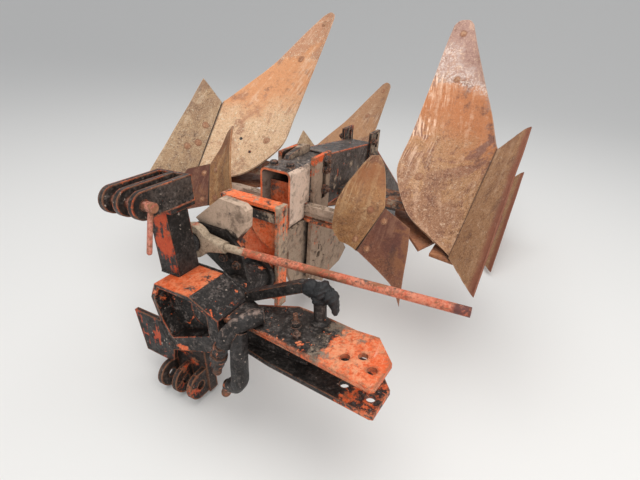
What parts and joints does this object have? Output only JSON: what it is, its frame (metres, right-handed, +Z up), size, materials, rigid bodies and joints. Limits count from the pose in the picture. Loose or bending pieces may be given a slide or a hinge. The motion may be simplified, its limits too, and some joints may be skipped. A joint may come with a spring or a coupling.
{
  "type": "moldboard plough",
  "caption": "Reversible mounted plough on its side: mirrored mouldboard bodies and skimmers on a beam that turns over behind a worn orange headstock.",
  "frame": {"origin": "floor level under the middle of the whole plough, as it lies parked on its side", "axes": "+X to the mast side, +Y to the rear of the plough, +Z up as it lies"},
  "size_m": [1.4046, 2.368, 1.1363],
  "materials": {
    "orange_paint": "worn gloss paint with grease and rust",
    "greasy_paint": "old paint under black grease and soil",
    "rusty_steel": "even brown rust, smooth from wear",
    "muddy_steel": "steel under dried soil"
  },
  "bodies": {
    "headstock": {"housing": "orange_paint", "bearing_tube": "greasy_paint", "hitch_post": "orange_paint", "upper_clevis": "orange_paint", "lower_clevis": "orange_paint", "clevis_gusset": "orange_paint", "mast_upper_plate": "orange_paint", "mast_lower_plate": "greasy_paint", "mast_web": "greasy_paint", "stop_arm": "greasy_paint", "latch_post": "greasy_paint", "latch_link": "orange_paint", "lever_bracket": "muddy_steel", "lock_block": "muddy_steel"},
    "frame": {"front_plate": "orange_paint", "upper_rail": "orange_paint", "main_beam": "greasy_paint", "lower_rail": "greasy_paint", "leg_fr": "greasy_paint", "leg_fl": "greasy_paint", "leg_rr": "greasy_paint", "leg_rl": "greasy_paint", "mouldboard_fr": "rusty_steel", "mouldboard_fl": "rusty_steel", "mouldboard_rr": "rusty_steel", "mouldboard_rl": "rusty_steel", "share_fr": "rusty_steel", "share_fl": "rusty_steel", "share_rr": "rusty_steel", "share_rl": "rusty_steel", "landside_fr": "rusty_steel", "landside_fl": "rusty_steel", "landside_rr": "rusty_steel", "landside_rl": "rusty_steel", "skimmer_board_r": "rusty_steel", "skimmer_board_l": "rusty_steel", "skimmer_share_r": "rusty_steel", "skimmer_share_l": "rusty_steel", "turnover_shaft": "muddy_steel", "slotted_posts": "muddy_steel", "rail_clamp": "muddy_steel", "skimmer_stalk_r": "muddy_steel", "skimmer_stalk_l": "muddy_steel"},
    "lever": {"turnover_lever": "orange_paint"},
    "pin": {"hitch_pin": "muddy_steel"}
  },
  "joints": [
    {"name": "turnover", "type": "hinge", "parent": "headstock", "child": "frame", "pos_m": [0, -0.909, 0.31], "axis": [0, 1, 0], "range_deg": [0, 180]},
    {"name": "lever_pivot", "type": "hinge", "parent": "headstock", "child": "lever", "pos_m": [-0.14774, -0.939, 0.45385], "axis": [0, -1, 0], "range_deg": [-3, 75]},
    {"name": "pin_slide", "type": "slide", "parent": "headstock", "child": "pin", "axis": [0.9969, 0, 0.0785], "range_m": [0, 0.16]}
  ]
}
